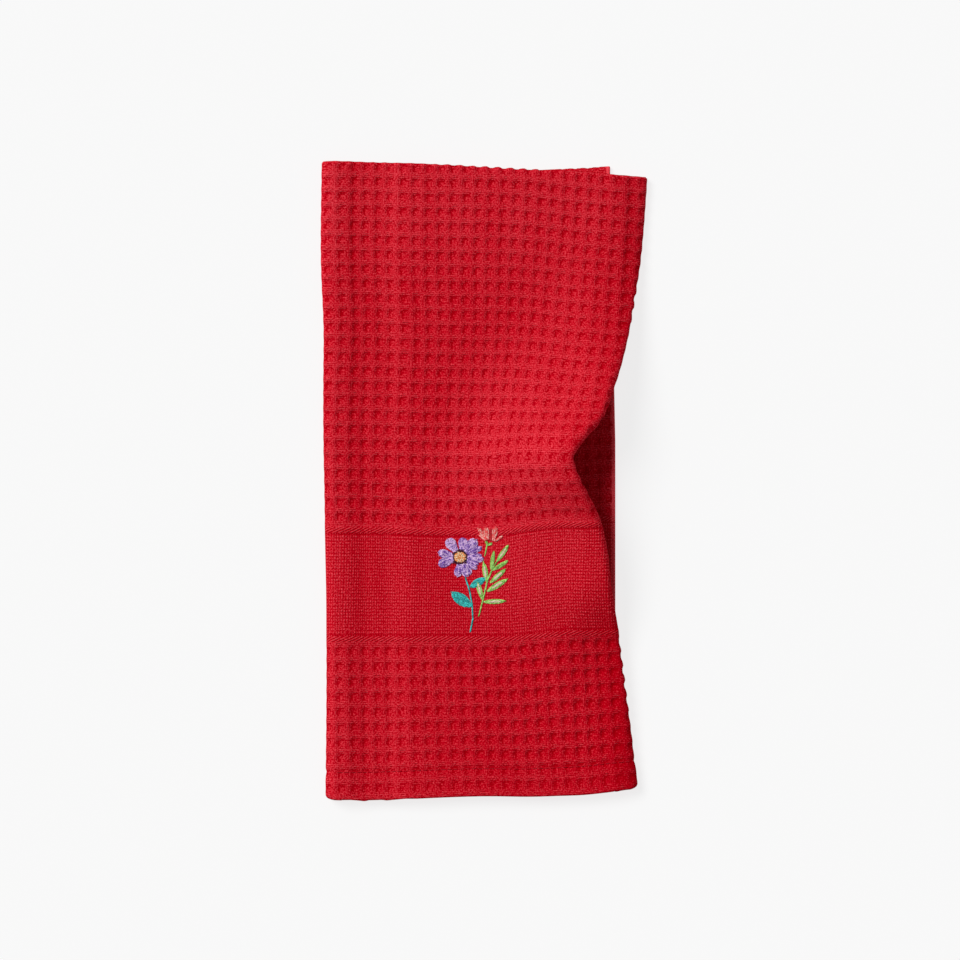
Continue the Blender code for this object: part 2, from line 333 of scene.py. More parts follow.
# The pits are shallower on the hem and its groove, and on the wave; below the band they are shallow at
# the left and deep at the right. The twill and hem stand up on the panel's own face only.
HEM_SHALLOWER, GROOVE_SHALLOWER = 0.5, 0.6
WAVE_SHALLOWER, WAVE_ACROSS, WAVE_ALONG = 0.45, (0.085, 0.115), (0.215, 0.190)
LOW_DEEPER, LOW_EVEN, LOW_ACROSS = 0.48, 0.6, (0.050, 0.120)
FACE_TOP, FACE_OUT, FACE_IN = 0.3, 0.006, 0.002

# How far the threads of the panel have crept from an even weave: above the band to the right and down
# the cloth, in rows that hold an amount and where it is eased in, across the cloth and along it; and
# below the band to the right, in proportion to the distance below the level thread.
EVERYWHERE = (-1.0, -0.5)
CREPT_RIGHT = [( 0.0005, 0.125, 0.050, *EVERYWHERE), ( 0.0029, 0.125, 0.050, 0.160, 0.290),
               (-0.0045, 0.050, 0.125, 0.158, 0.208), ( 0.0085, 0.050, 0.125, 0.212, 0.345)]
SAGGED = [( 0.0005, *EVERYWHERE, *EVERYWHERE), ( 0.0012, 0.020, 0.060, *EVERYWHERE),
          ( 0.0055, 0.095, 0.175, 0.200, 0.240), (-0.0017, 0.090, 0.110, 0.215, 0.195)]
LOW_LEAN_LEFT, LOW_LEAN_RIGHT, LOW_LEAN_ACROSS = 0.022, 0.060, (0.020, 0.100)
LEVEL_THREAD = 0.048
PANEL_LEFT, PANEL_RIGHT, PANEL_TOP = (-0.010, 0), (0.205, 0.185), 0.42

# The under third's weave lies a little to the left of its place in the panel's cells.
UNDER_SHIFT, UNDER_FROM = 0.0024, (-0.020, -0.060)

rng = np.random.default_rng(7)
VARIED_CELLS = (96, 128)
CELL_VARIATION = rng.normal(0, 1, VARIED_CELLS)


def cloth_length(across):
    """The cloth's whole length at a place across it: both plies and the half circle between them."""
    return 2 * half_fold(across, 0 * across, 0)[2] + np.pi * HALF_TURN


def from_selvedge(across, along):
    """The distance from the nearer selvedge."""
    width = panel_width(across, along)
    under = UNDER_WIDTH - beyond_left(across)[1]
    tucked = TUCKED_SHARE * width - beyond_right(across, width)[1]
    return np.maximum(np.minimum(under, tucked), 0)


def pit(u, v):
    """How deep one square pit is at a place across and along it, in cells from the cell's middle: 1 at
    its deepest, falling on a smooth S of the fourth root of u to the fourth and v to the fourth. Its
    deepest place leans to the upper left, by a share of the parabola 1 - 4 u squared."""
    u, v = u + PIT_LEAN * (1 - 4 * u ** 2), v - PIT_LEAN * (1 - 4 * v ** 2)
    out = (u ** PIT_SQUARENESS + v ** PIT_SQUARENESS) ** (1 / PIT_SQUARENESS)
    return ease((PIT_EDGE - out) / PIT_WALL)


def creep(own, along):
    """How far the threads have crept across and down the cloth: below the band a lean times the
    distance below the level thread, above it the sums of their rows, and a smooth step between."""
    lean = LOW_LEAN_LEFT + (LOW_LEAN_RIGHT - LOW_LEAN_LEFT) * between(*LOW_LEAN_ACROSS, own)
    lower = lean * (LEVEL_THREAD - along)
    above = between(LOW_TWILL, HIGH_TWILL, along)
    on_panel = between(*PANEL_LEFT, own) * between(*PANEL_RIGHT, own) * (along < PANEL_TOP)
    right = lower + (eased_in(CREPT_RIGHT, own, along) - lower) * above
    return on_panel * right, on_panel * above * eased_in(SAGGED, own, along)


def woven(across, along):
    """A place in the weave's own measure, before the threads crept: how far across it is, how far
    along, and how far from the nearer end."""
    own = own_across(across, along)
    crept_right, crept_down = creep(own, along)
    along = along + crept_down
    crept_right = crept_right + UNDER_SHIFT * between(*UNDER_FROM, own)
    return own - crept_right, along, np.minimum(along, cloth_length(across) - along)


def relief(across, along):
    """The height of the cloth's outer face over its plain surface: less the pits and a little crown on
    the ridges, in the waffle; a raised line at each twill; and a thicker hem with the groove that its
    stitches pull. Each pit's depth varies a little by a random share."""
    own, woven_along, from_end = woven(across, along)
    column = (own - FIRST_PIT_ACROSS) / CELL_WIDTH
    low = (woven_along - LOW_PIT_ALONG) / LOW_CELL_HEIGHT
    high = (woven_along - FIRST_PIT_ALONG) / CELL_HEIGHT
    lower = woven_along < LOW_TWILL
    row = np.where(lower, low, high)
    u, v = column - np.round(column), row - np.round(row)
    cell = tuple(np.round(place).astype(int) % count for place, count in zip((column, row), VARIED_CELLS))
    depth = PIT_DEPTH * (1 + CELL_SPREAD * np.clip(CELL_VARIATION[cell], -2, 2))
    crown = RIDGE_CROWN * (2 + np.cos(2 * np.pi * u) + np.cos(2 * np.pi * v)) / 2

    above = between(HIGH_TWILL + TWILL_WIDTH / 2, HIGH_TWILL + TWILL_WIDTH / 2 + BAND_EASE, from_end)
    below = between(LOW_TWILL - TWILL_WIDTH / 2, LOW_TWILL - TWILL_WIDTH / 2 - BAND_EASE, from_end)
    inside = between(SELVEDGE, SELVEDGE + BAND_EASE, from_selvedge(across, along))
    waffle = (above + below) * inside
    hem = between(HEM_DEPTH + STITCH_GROOVE_WIDTH, HEM_DEPTH - STITCH_GROOVE_WIDTH, from_end)
    twill = sum(np.exp(-((from_end - line) / (TWILL_WIDTH / 2)) ** 4) for line in (LOW_TWILL, HIGH_TWILL))
    groove = np.exp(-((from_end - HEM_DEPTH) / STITCH_GROOVE_WIDTH) ** 2)
    on_wave = between(*WAVE_ACROSS, own) * between(*WAVE_ALONG, along) * ~lower
    low_share = LOW_DEEPER * (between(*LOW_ACROSS, own) - LOW_EVEN) * lower
    depth = depth * (1 - HEM_SHALLOWER * hem - GROOVE_SHALLOWER * groove)
    depth = depth * (1 + low_share) * (1 - WAVE_SHALLOWER * on_wave)
    past_right = across - panel_width(across, along)
    on_face = between(-FACE_OUT, -FACE_IN, across) * between(FACE_OUT, FACE_IN, past_right)
    raised = on_face * (along < FACE_TOP) * (TWILL_RISE * twill + HEM_THICKER * hem)
    return raised - STITCH_GROOVE * groove - waffle * (depth * pit(u, v) + crown)


# Painted light and shade on the yarn, paler, or deeper where less than 0, in rows as above: painted light
# at the left fold, which faces the light, and at the top, towards the light; painted shade near the right
# end of the hem, where the light falls off, and on the under third, in the wave's shadow. Painted light
# also on the panel's climb, by how far it leans towards the light, and on the under third's rim, which lies
# past the wave's shadow.
PAINTED_LIGHT_ROWS = [( 0.09, 0.014, 0.004, *EVERYWHERE), ( 0.09, *EVERYWHERE, 0.270, 0.340),
                (-0.08, 0.020, 0.100, 0.115, 0.080), (-0.12, 0.138, 0.158, 0.115, 0.080),
                (-0.25, *UNDER_FROM, *EVERYWHERE)]
CLIMB_PAINTED_LIGHT = 0.32
RIM_PAINTED_LIGHT, RIM_WIDTH = 0.90, 0.0030


def painted_light_and_shade(across, along):
    """The painted light and shade on the yarn: the sum of its rows, a share of how far the panel's normal
    leans to the left, towards the light, and a smooth step up to the under third's selvedge for its lit
    rim."""
    height = half_fold(across, along, 0)[0]
    width = np.interp(height, HEIGHTS, PACK_WIDTHS)
    lean = -on_pack(PACK_NORMALS, height, np.clip(across, 0, width))[..., 0]
    rim = between(RIM_WIDTH, RIM_WIDTH / 2, from_selvedge(across, along)) * between(*UNDER_FROM, across)
    return eased_in(PAINTED_LIGHT_ROWS, across, along) + CLIMB_PAINTED_LIGHT * lean + RIM_PAINTED_LIGHT * rim


# Across the cloth, the waffle that shows takes seven steps for each cell, closer together on the pits'
# steep upper and left walls. The last lines run on from there to the tucked third's selvedge, wherever
# that lies, and are given as shares of the way.
WALL_PLACE, CROWDING = 0.30, 0.06
UNDER_EDGE = -np.pi * (LEFT_TURN + HALF_TURN) - UNDER_WIDTH
FINE_FROM = FIRST_PIT_ACROSS - 2.5 * CELL_WIDTH
FINE_TO = FIRST_PIT_ACROSS + 25.5 * CELL_WIDTH
ACROSS_RUNS = [(UNDER_EDGE + 0.0003, 1, 1), (UNDER_EDGE + EDGE_ROUNDING, 1, 1),
               (UNDER_EDGE + 0.0280, 28, 28), (FINE_FROM, 10, 10),
               (FINE_FROM + 2 * CELL_WIDTH, 14, 14), (FINE_TO - 4 * CELL_WIDTH, 154, 22),
               (FINE_TO, 28, 14)]
TUCKED_RUNS = [(0.9700, 9, 9), (0.9932, 1, 1), (0.9975, 1, 1), (1, 1, 1)]

# Along it, seven steps for each row on the outer ply, to past the half fold. Down the inner ply, in
# shares of its length, only the strip beside the wave needs fine lines.
FIRST_PLY_END = FIRST_PIT_ALONG + 25.5 * CELL_HEIGHT
ALONG_RUNS = [(0.0003, 1, 1), (EDGE_ROUNDING, 1, 1), (LOW_PIT_ALONG - LOW_CELL_HEIGHT / 2, 2, 1),
              (LOW_PIT_ALONG + 9.5 * LOW_CELL_HEIGHT, 70, 10),
              (LOW_TWILL + TWILL_WIDTH / 2 + 0.0005, 4, 1),
              (HIGH_TWILL - TWILL_WIDTH / 2 - 0.0005, 24, 6),
              (FIRST_PIT_ALONG - CELL_HEIGHT / 2, 6, 1), (FIRST_PLY_END, 182, 26)]
BACK_RUNS = [(0.27, 6, 6), (0.77, 132, 22), (0.9975, 8, 8), (0.9992, 1, 1), (1, 1, 1)]
CROWDED_FROM = 0.002
CREEP_ROUNDS, SELVEDGE_ROUNDS = 8, 3


def grid_lines(start, runs):
    """Grid lines through runs of (end, steps, kept steps): the places of the lines, and which of them
    the coarser grids keep."""
    places, kept = [np.array([start])], [np.array([True])]
    for end, steps, kept_steps in runs:
        places.append(np.linspace(places[-1][-1], end, steps + 1)[1:])
        kept.append(np.arange(1, steps + 1) % (steps // kept_steps) == 0)
    return np.concatenate(places), np.concatenate(kept)


def crowded(lines, start, end, first, pitch, place):
    """Grid lines between start and end drawn together at one place in each cell: every line moves by a
    share of the sine of its turn from that place."""
    moved = lines - CROWDING * pitch * np.sin(2 * np.pi * ((lines - first) / pitch - place))
    return np.where((lines > start + 1e-6) & (lines < end - 1e-6), moved, lines)


def along_threads(lines, rows):
    """Where grid lines that follow the threads lie on the cloth: each place is moved by how far the
    threads crept there."""
    across, along = np.meshgrid(lines, rows, indexing="ij")
    for _ in range(CREEP_ROUNDS):
        right, down = creep(across, along)
        across, along = lines[:, None] + right, rows - down
    return across, along


def tucked_grid(start, shares, along):
    """Places across the cloth at shares of the way from a start to the tucked third's selvedge."""
    across = start + shares[:, None] * TUCKED_SHARE * TOP_WIDTH
    for _ in range(SELVEDGE_ROUNDS):
        end = (1 + TUCKED_SHARE) * panel_width(across, along) + np.pi * (RIGHT_TURN + HALF_TURN)
        across = start + shares[:, None] * (end - start)
    return across


def grid_faces(numbers):
    """The quads between the points of a grid, from the grid of their numbers."""
    quads = np.stack([numbers[:-1, :-1], numbers[1:, :-1], numbers[1:, 1:], numbers[:-1, 1:]], axis=-1)
    return quads.reshape(-1, 4).tolist()


def joining_faces(fine, coarse, places):
    """Faces between a fine edge and a coarse one, each with one step of the coarse edge and all the
    steps of the fine edge beside it. places says which fine point each coarse one meets."""
    return [[coarse[k + 1], coarse[k], *fine[places[k]:places[k + 1] + 1]]
            for k in range(len(coarse) - 1)]


def cloth_grids():
    """The places across and along of three grids: the outer face of the first ply, that of the second,
    and the inner face, with the columns and rows that the coarser grids keep. The first grid follows
    the threads, and behind the half fold the lines come back to where they started."""
    lines, lines_kept = grid_lines(UNDER_EDGE, ACROSS_RUNS)
    shares, shares_kept = grid_lines(0, TUCKED_RUNS)
    rows, rows_kept = grid_lines(0, ALONG_RUNS)
    back_rows, back_kept = grid_lines(0, BACK_RUNS)
    columns = np.flatnonzero(np.append(lines_kept, shares_kept[1:]))
    lines = crowded(lines, FINE_FROM, FINE_TO, FIRST_PIT_ACROSS, CELL_WIDTH, -WALL_PLACE)
    rows = crowded(rows, CROWDED_FROM, LOW_TWILL - TWILL_WIDTH / 2, LOW_PIT_ALONG, LOW_CELL_HEIGHT,
                   WALL_PLACE)
    rows = crowded(rows, HIGH_TWILL + TWILL_WIDTH / 2, FIRST_PLY_END, FIRST_PIT_ALONG, CELL_HEIGHT,
                   WALL_PLACE)

    front_across, front_along = along_threads(lines, rows)
    beyond = np.repeat(front_along[-1:], len(shares) - 1, axis=0)
    front_across = np.vstack([front_across, tucked_grid(front_across[-1:], shares[1:], beyond)])
    front_along = np.vstack([front_along, beyond])

    left = cloth_length(front_across[columns, -1:]) - front_along[columns, -1:]
    back_along = front_along[columns, -1:] + left * back_rows[1:]
    kept = np.count_nonzero(lines_kept)
    crept = front_across[columns[:kept], -1:] - lines[lines_kept, None]
    back_across = lines[lines_kept, None] + crept * np.clip(1 - back_rows[1:] / BACK_RUNS[0][0], 0, 1)
    back_across = np.vstack([back_across, tucked_grid(back_across[-1:], shares[shares_kept][1:],
                                                      back_along[kept:])])

    rows = np.append(np.flatnonzero(rows_kept), len(rows_kept) - 1 + np.flatnonzero(back_kept)[1:])
    inner_across = np.hstack([front_across[columns], back_across])[:, rows]
    inner_along = np.hstack([front_along[columns], back_along])[:, rows]
    grids = [(front_across, front_along), (back_across, back_along), (inner_across, inner_along)]
    return grids, columns, rows


def cloth_mesh():
    """The whole cloth as one closed mesh. The outer face stands half the cloth's thickness and the relief
    out of its middle, the inner face half the thickness the other way, and both come together on a quarter
    round at the selvedges and hems, where the grids are joined. Gives its points and faces, and for each
    point its place in the weave, its painted light and shade and its distance from the end."""
    grids, columns, rows = cloth_grids()
    points, weave, painted_light_values, ends = [], [], [], []
    for (across, along), side in zip(grids, (1, 1, -1)):
        edge = np.minimum(from_selvedge(across, along), np.minimum(along, cloth_length(across) - along))
        inward = 1 - np.clip(edge / EDGE_ROUNDING, 0, 1)
        lift = side * CLOTH_THICK / 2 * (EDGE_FLAT + (1 - EDGE_FLAT) * np.sqrt(1 - inward ** 2))
        if side > 0:
            lift = lift + relief(across, along) * (1 - inward)
        points.append(folded(across, along, lift).reshape(-1, 3))
        own, woven_along, from_end = woven(across, along)
        weave.append(np.stack([own, woven_along], axis=-1).reshape(-1, 2))
        # Each point's painted light and shade.
        painted_light_values.append(painted_light_and_shade(across, along).ravel())
        ends.append(from_end.ravel())
    sizes = np.cumsum([0] + [across.size for (across, _) in grids])
    front, back, inner = (np.arange(first, first + across.size).reshape(across.shape)
                          for first, (across, _) in zip(sizes, grids))
    same = np.arange(len(columns))
    faces = grid_faces(front) + grid_faces(back) + grid_faces(inner)
    faces += joining_faces(front[:, -1], back[:, 0], columns)
    faces += joining_faces(front[:, 0], inner[:, 0], columns)
    faces += joining_faces(back[:, -1], inner[:, -1], same)
    for side in (0, -1):
        faces += joining_faces(np.append(front[side], back[side]), inner[side], rows)
    return np.concatenate(points), faces, *(np.concatenate(values) for values in (weave, painted_light_values, ends))


def smooth_piece(name, points, faces):
    """A smooth-shaded mesh object at the origin, with its faces turned outwards."""
    mesh = bpy.data.meshes.new(name)
    mesh.from_pydata(points.tolist(), [], faces)
    shell = bmesh.new()
    shell.from_mesh(mesh)
    bmesh.ops.recalc_face_normals(shell, faces=shell.faces[:])
    shell.to_mesh(mesh)
    shell.free()
    mesh.shade_smooth()
    piece = bpy.data.objects.new(name, mesh)
    bpy.context.scene.collection.objects.link(piece)
    return piece


def write_point_values(piece, name, values):
    """A number on each point of the piece, for its material to read."""
    attribute = piece.data.attributes.new(name, "FLOAT", "POINT")
    attribute.data.foreach_set("value", values.astype(np.float32))


def write_uv(piece, name, places):
    """A UV map from a place in the plane for each point."""
    corners = np.zeros(len(piece.data.loops), dtype=np.int32)
    piece.data.loops.foreach_get("vertex_index", corners)
    layer = piece.data.uv_layers.new(name=name)
    layer.data.foreach_set("uv", places[corners].astype(np.float32).ravel())


class Reading:
    """A number that varies over a surface. Arithmetic on it adds Math nodes to its finish."""

    def __init__(self, finish, socket):
        self.finish, self.socket = finish, socket

    def math(self, operation, *others, first=None):
        """One Math node on the reading and the others, with first put before it where it is given."""
        values = [self if first is None else first, *(others if first is None else (self,))]
        inputs = dict(enumerate(values))
        return Reading(self.finish, self.finish.node("ShaderNodeMath", {"operation": operation}, inputs)
                       .outputs[0])

    def __add__(self, other):
        return self.math("ADD", other)

    def __sub__(self, other):
        return self.math("SUBTRACT", other)

    def __rsub__(self, other):
        return self.math("SUBTRACT", first=other)

    def __mul__(self, other):
        return self.math("MULTIPLY", other)

    def __truediv__(self, other):
        return self.math("DIVIDE", other)

    __radd__, __rmul__ = __add__, __mul__

    def cosine(self, turns=1):
        """The cosine of this many turns of the reading."""
        return (self * (2 * np.pi * turns)).math("COSINE")

    def step(self, start, end):
        """0 at start, 1 at end, and a smooth S between."""
        node = self.finish.node("ShaderNodeMapRange", {"interpolation_type": "SMOOTHSTEP"},
                                {"Value": self, "From Min": start, "From Max": end})
        return Reading(self.finish, node.outputs[0])


class Finish:
    """A material on the Principled shader, with its constant sockets given by name."""

    def __init__(self, name, constants):
        self.material = bpy.data.materials.new(name)
        self.material.use_nodes = True
        self.tree = self.material.node_tree
        self.shader = self.tree.nodes["Principled BSDF"]
        for socket, value in constants.items():
            self.shader.inputs[socket].default_value = value

    def node(self, kind, settings, inputs):
        """A node of that type, with its settings made first and then its sockets set or linked."""
        node = self.tree.nodes.new(kind)
        for name, value in settings.items():
            setattr(node, name, value)
        for name, value in inputs.items():
            self.feed(node.inputs[name], value)
        return node

    def feed(self, socket, value):
        """A reading or another node's socket is linked to this one, and any other value is set."""
        value = value.socket if isinstance(value, Reading) else value
        if isinstance(value, bpy.types.NodeSocket):
            self.tree.links.new(value, socket)
        else:
            socket.default_value = value

    def uv(self, name):
        """The two coordinates of a UV map, and the map itself."""
        place = self.node("ShaderNodeUVMap", {"uv_map": name}, {}).outputs[0]
        apart = self.node("ShaderNodeSeparateXYZ", {}, {0: place})
        return Reading(self, apart.outputs[0]), Reading(self, apart.outputs[1]), place

    def point_values(self, name):
        """The number that each point of the piece holds under that name."""
        return Reading(self, self.node("ShaderNodeAttribute", {"attribute_name": name}, {})
                       .outputs["Fac"])

    def stretched(self, *places):
        """A place whose coordinates are readings of their own."""
        return self.node("ShaderNodeCombineXYZ", {}, dict(enumerate(places))).outputs[0]

    def noise(self, place, scale, detail=2.0, roughness=0.5):
        """Soft noise from 0 to 1 over a place, in spots about 1 / scale wide."""
        inputs = {"Vector": place, "Scale": scale, "Detail": detail, "Roughness": roughness}
        return Reading(self, self.node("ShaderNodeTexNoise", {}, inputs).outputs[0])

    def mix(self, factor, start, end):
        """One colour passing into another as the factor goes from 0 to 1. The node's colours are its
        inputs 6 and 7 and its output 2."""
        node = self.node("ShaderNodeMix", {"data_type": "RGBA", "clamp_factor": True},
                         {0: factor, 6: start, 7: end})
        return node.outputs[2]

    def bump(self, height, distance):
        """A normal that leans as if the surface stood up by the height times the distance."""
        return self.node("ShaderNodeBump", {}, {"Height": height, "Distance": distance}).outputs[0]


# The cotton's colours: a dark red for painted shade, its own red, and a pale red for painted highlights;
# and the painted light at which each is reached.
COTTON_PAINTED_SHADE = (0.370, 0.0000, 0.0040, 1)
COTTON_RED = (0.478, 0.0002, 0.0098, 1)
COTTON_PAINTED_HIGHLIGHT = (0.830, 0.0690, 0.0910, 1)
COTTON_SHEEN = (1.0, 0.40, 0.42, 1)
PAINTED_SHADE_AT, RED_AT, PAINTED_HIGHLIGHT_AT = -0.3, 0.0, 1.0

# The yarn: how many threads run each way in a cell, and how far each shows past the other's ridge.
WARP_THREADS, WEFT_THREADS = 7, 8
WARP_SHOWS, WEFT_SHOWS = 1.2, 1.3
BAND_ACROSS, BAND_ALONG = 0.00135, 0.00174
TWILL_THREAD, TWILL_SLOPE, TWILL_SOFT = 0.00145, 0.48, 0.0003
# A painted shadow: a dark line a little inside each twill line, on the band's side.
TWILL_SHADOW_OFFSET, TWILL_SHADOW_WIDTH = 0.0006, 0.0008
FUZZ_SIZE, STREAK_SIZE, BREAK_SIZE, CELL_SIZE = 0.0009, 0.0060, 0.0015, 0.0080
STREAK_STRETCH = 0.12
BREAK_FROM, BREAK_TO = 0.35, 0.65
YARN_HEIGHT, YARN_BUMP, FUZZ_BUMP = 0.00016, 0.6, 2.0

# How much each of these makes the cotton paler: the threads, the check and the twill's slants as painted
# highlights on their tops, the fuzz and streaks as random tone, and the level ridges as painted light; and
# how much the painted shadows beside the twill and in the pits make it darker.
COTTON_LIT, YARN_LIT, FUZZ_LIT, STREAK_LIT, RIDGE_LIT = 0.05, 0.36, 2.8, 0.25, 0.10
WARP_LIT, WEFT_LIT, TWILL_LIT, TWILL_SHADOW_DARK = 0.8, 1.4, 1.4, 1.2
CHECK_LIT, CHECK_WHOLE, CHECK_BROKEN, CHECK_DARK = 2.5, 0.5, 0.7, 0.5
PIT_SHADOW_DARK, PIT_SHADOW_SPREAD, PIT_SHADOW_LEAST = 0.43, 2.4, -0.3

# The painted shadows in each pit, which the upper left light leaves on its walls, upright at its left and
# level at its top: the middle of each, across and along from the pit's middle, and its width and height,
# all in cells.
PIT_SHADOWS = [(-0.19, 0.02, 0.42, 1.00), (0.00, 0.25, 0.90, 0.40)]
PIT_SHADOW_OUTSIDE, PIT_SHADOW_INSIDE, PIT_SHADOW_FUZZ = 0.36, 0.10, 0.5


def waffle_cotton():
    """Deep red cotton yarn. Threads lie along the ridges of the waffle, as the cosine of their own number
    in each cell, in a check on the plain band, and slanting on the twill lines. The colour passes from a
    painted shade through red to a painted highlight with how lit the yarn is painted: painted highlights on
    the threads, a fine fuzz and soft streaks up the cloth, painted light on the level ridges and the
    painted light and shade that each point holds, less a painted shadow beside each twill and the painted
    shadows in the pits. A pit's painted shadow is a smooth step down on the larger of the distances from
    its middle across and along, as shares of its width and height."""
    finish = Finish("waffle_cotton", {"Roughness": 0.80, "Sheen Weight": 0.02, "Sheen Roughness": 0.25,
                                      "Sheen Tint": COTTON_SHEEN, "Specular IOR Level": 0.0})
    across, along, place = finish.uv("weave")
    column = (across - FIRST_PIT_ACROSS) / CELL_WIDTH
    low = (along - LOW_PIT_ALONG) / LOW_CELL_HEIGHT
    high = (along - FIRST_PIT_ALONG) / CELL_HEIGHT
    row = low + (high - low) * along.step(LOW_TWILL, LOW_TWILL + TWILL_WIDTH)
    upright = 0.5 - 0.5 * column.cosine()
    level = 0.5 - 0.5 * row.cosine()
    warp = column.cosine(WARP_THREADS) * upright * (WARP_SHOWS - level)
    weft = row.cosine(WEFT_THREADS) * level * (WEFT_SHOWS - upright)
    broken = finish.noise(place, 1 / BREAK_SIZE, roughness=0.6).step(BREAK_FROM, BREAK_TO)

    from_middle = (finish.point_values("from_end") - (LOW_TWILL + HIGH_TWILL) / 2).math("ABSOLUTE")
    reach = (HIGH_TWILL - LOW_TWILL) / 2
    plain = from_middle.step(reach, reach - BAND_EASE)
    from_twill = (from_middle - reach).math("ABSOLUTE")
    twill = from_twill.step(TWILL_WIDTH / 2 + TWILL_SOFT, TWILL_WIDTH / 2 - TWILL_SOFT)
    check = (0.5 + 0.5 * (across / BAND_ACROSS).cosine()) * (0.5 + 0.5 * (along / BAND_ALONG).cosine())
    slant = ((along - across * TWILL_SLOPE) / TWILL_THREAD).cosine()
    from_twill_shadow = (reach - TWILL_WIDTH / 2 - TWILL_SHADOW_OFFSET - from_middle).math("ABSOLUTE")
    waffle = (1 - plain) * (1 - twill)
    # The threads' tops, the check's crossings and the twill's slants are painted as highlights in the
    # colour, and stand up in the bump.
    yarn = waffle * broken * (WARP_LIT * warp + WEFT_LIT * weft)
    check = CHECK_LIT * check * (CHECK_WHOLE + CHECK_BROKEN * broken) - CHECK_DARK
    yarn = yarn + plain * (1 - twill) * check + TWILL_LIT * twill * slant
    # Less a painted shadow along the band's side of each twill line.
    yarn = yarn - TWILL_SHADOW_DARK * from_twill_shadow.step(TWILL_SHADOW_WIDTH, 0)

    fuzz = finish.noise(place, 1 / FUZZ_SIZE, roughness=0.6) - 0.5
    streak = finish.noise(finish.stretched(across, along * STREAK_STRETCH), 1 / STREAK_SIZE) - 0.5
    # Painted shadows in the pits, upright at their left and level at their top, where the walls turn from
    # the light.
    u, v = column - column.math("ROUND"), row - row.math("ROUND")
    upright_shadow, level_shadow = (
        ((u - middle_u).math("ABSOLUTE") / wide).math("MAXIMUM", (v - middle_v).math("ABSOLUTE") / high)
        for middle_u, middle_v, wide, high in PIT_SHADOWS)
    pit_shadow = upright_shadow.math("MINIMUM", level_shadow) + PIT_SHADOW_FUZZ * fuzz
    uneven = finish.noise(place, 1 / CELL_SIZE, detail=1.0) * PIT_SHADOW_SPREAD + PIT_SHADOW_LEAST
    pit_shadow = waffle * uneven * pit_shadow.step(PIT_SHADOW_OUTSIDE, PIT_SHADOW_INSIDE)
    # How lit the yarn is painted: highlights on the threads, random fuzz and streaks, light on the level
    # ridges and the points' painted light and shade, less the painted pit shadows.
    lit = COTTON_LIT + YARN_LIT * yarn + FUZZ_LIT * fuzz + STREAK_LIT * streak
    lit = lit + RIDGE_LIT * waffle * level + finish.point_values("painted_light_and_shade") - PIT_SHADOW_DARK * pit_shadow
    # The colour runs from painted shade through the cotton's red to painted highlight.
    colour = finish.mix((lit - PAINTED_SHADE_AT) / (RED_AT - PAINTED_SHADE_AT), COTTON_PAINTED_SHADE, COTTON_RED)
    colour = finish.mix((lit - RED_AT) / (PAINTED_HIGHLIGHT_AT - RED_AT), colour, COTTON_PAINTED_HIGHLIGHT)
    finish.feed(finish.shader.inputs["Base Color"], colour)
    height = YARN_BUMP * yarn + FUZZ_BUMP * fuzz
    finish.feed(finish.shader.inputs["Normal"], finish.bump(height, YARN_HEIGHT))
    return finish.material


points, faces, weave, painted_light_values, ends = cloth_mesh()
outline = folded(*cloth_grids()[0][0], CLOTH_THICK / 2).reshape(-1, 3)
centring = ((cad_low + cad_high) / 2 - (outline.min(axis=0) + outline.max(axis=0)) / 2) * (1, 1, 0)
towel = smooth_piece("towel", points + centring, faces)
write_uv(towel, "weave", weave)
# The painted light and shade on each point, which the cotton's colour reads.
write_point_values(towel, "painted_light_and_shade", painted_light_values)
write_point_values(towel, "from_end", ends)
towel.data.materials.append(waffle_cotton())
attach(towel, "root")
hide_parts("towel_cloth")


# ---- The embroidered posy ----
# Glossy cotton thread in closed strands, each a stitch that comes up out of the cloth and goes down
# into it: a lilac daisy and its teal stem, a pale green sprig and a coral bud.

STITCH_WIDTH, STITCH_HEIGHT = 0.00054, 0.00036
STITCH_PITCH, STITCH_LENGTH = 0.00050, 0.0024
STITCH_OVERLAP, SHORTEST_STITCH = 1.2, 0.3
STEM_STITCH, STEM_STEP = 2.4, 0.8
STATIONS = np.linspace(0, 1, 7)
ZIGZAG = (-1.0) ** np.arange(len(STATIONS))
STRAND_SIDES = 6
STRAND_TAPER = 0.55
STITCH_UNEVEN, ANGLE_UNEVEN = 0.00016, 0.3
PETAL_DOME, LEAF_DOME, FLAT_DOME, EYE_DOME = 0.00045, 0.00025, 0.0001, 0.0003
RAGGED, JAG = 0.05, 0.07
DEEP_TONE, PALE_TONE, TONE_SPREAD = 0.85, 0.10, 0.20
PLIES, TWIST, PLY_TONE, PLY_HEIGHT = 2, 0.0009, 0.06, 0.00006
SPECK_SIZE, SPECK, SPECK_MIDDLE = 0.0008, 3.0, 0.46
MM = 0.001
POSY_ROUNDS = 8

# The middle of the daisy, in the towel's plan. The posy's other places are measured from it in mm. A
# petal's row holds its angle, length, width, share of violet stitches and how far it is lifted, and a
# leaf's row its foot, tip and width, and in the sprig whether it has a pale heart.
DAISY = np.array((-0.0123, -0.0425))
PETAL_START = 3.6
PETALS = [(25, 13.5, 3.6, 0.75, 0.10), (262, 11.0, 4.8, 0.45, 0.15), (330, 11.5, 5.2, 0.55, 0.15),
          (168, 12.5, 5.0, 0.40, 0.15), (79, 11.0, 5.6, 0.40, 0.15), (125, 12.3, 6.4, 0.12, 0.30),
          (47, 13.2, 6.4, 0.25, 0.30), (357, 13.0, 5.6, 0.40, 0.30), (294, 11.5, 6.4, 0.25, 0.30),
          (199, 12.8, 5.6, 0.35, 0.30)]
EYE_LENGTH, EYE_WIDTH = 6.8, 5.8
RING_STITCHES, RING_START, RING_END = 44, 2.3, 4.8
KNOTS, KNOT_START, KNOT_END = 9, 0.9, 3.3
